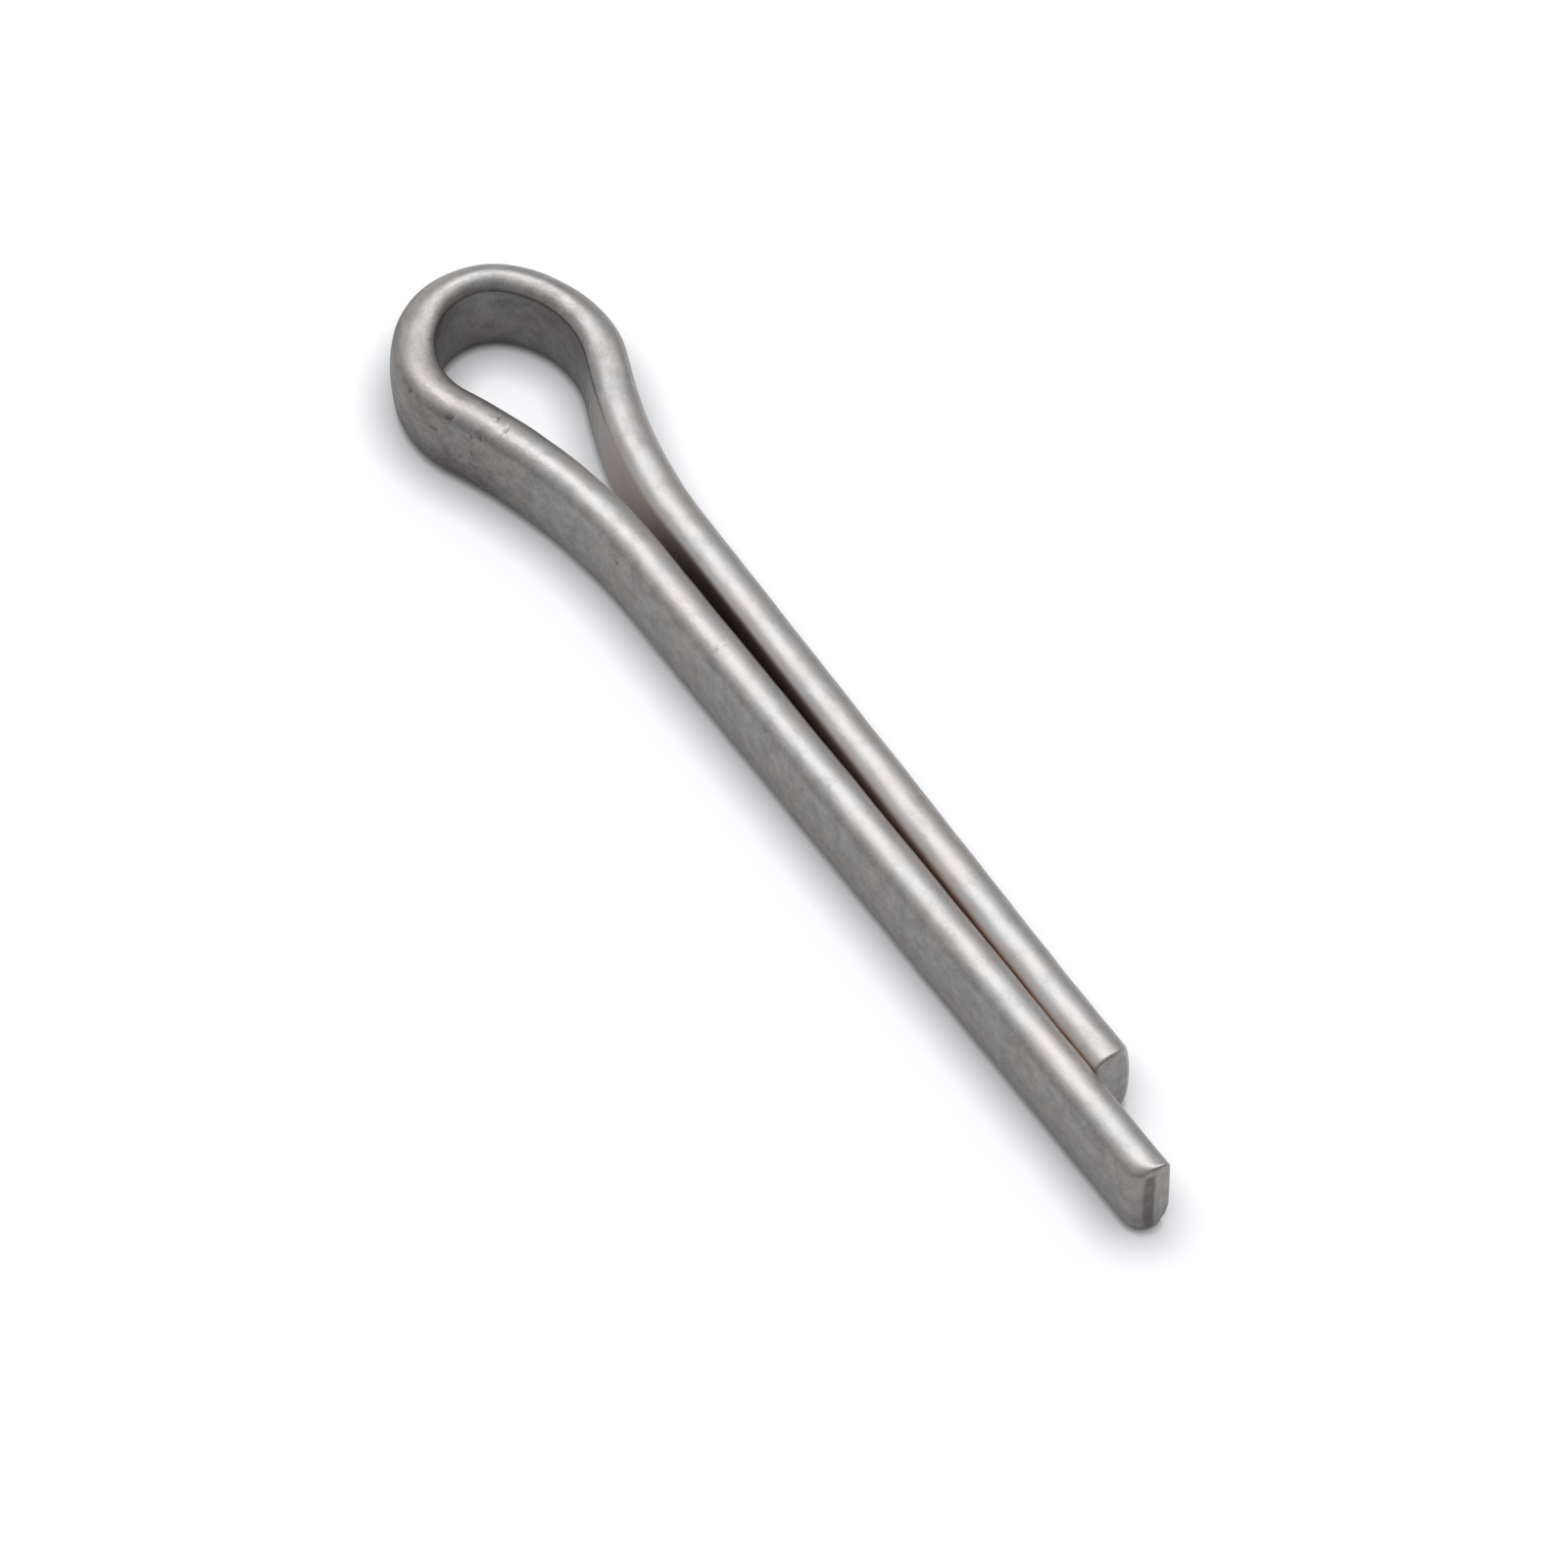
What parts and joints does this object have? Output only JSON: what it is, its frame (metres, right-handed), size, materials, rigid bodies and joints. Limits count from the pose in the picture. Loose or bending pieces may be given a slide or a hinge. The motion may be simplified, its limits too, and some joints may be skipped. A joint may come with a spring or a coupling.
{
  "type": "split cotter pin",
  "caption": "Split pin of flattened half-round wire with a round eye and two straight legs lying flat side to flat side, one leg longer than the other, for locking a pin, bolt or castle nut.",
  "frame": {"origin": "centre of the eye's round end, at mid-height of the wire", "axes": "+X along the legs to their ends, +Y to the short leg's side, +Z along the axis of the eye; the pin lies flat on z = -1.77 mm"},
  "size_m": [0.0421, 0.0075, 0.0036],
  "materials": {
    "wire_steel": "satin, fine lengthwise drawing marks and a faint mottle"
  },
  "bodies": {
    "root": {"split_pin": "wire_steel"}
  },
  "joints": []
}
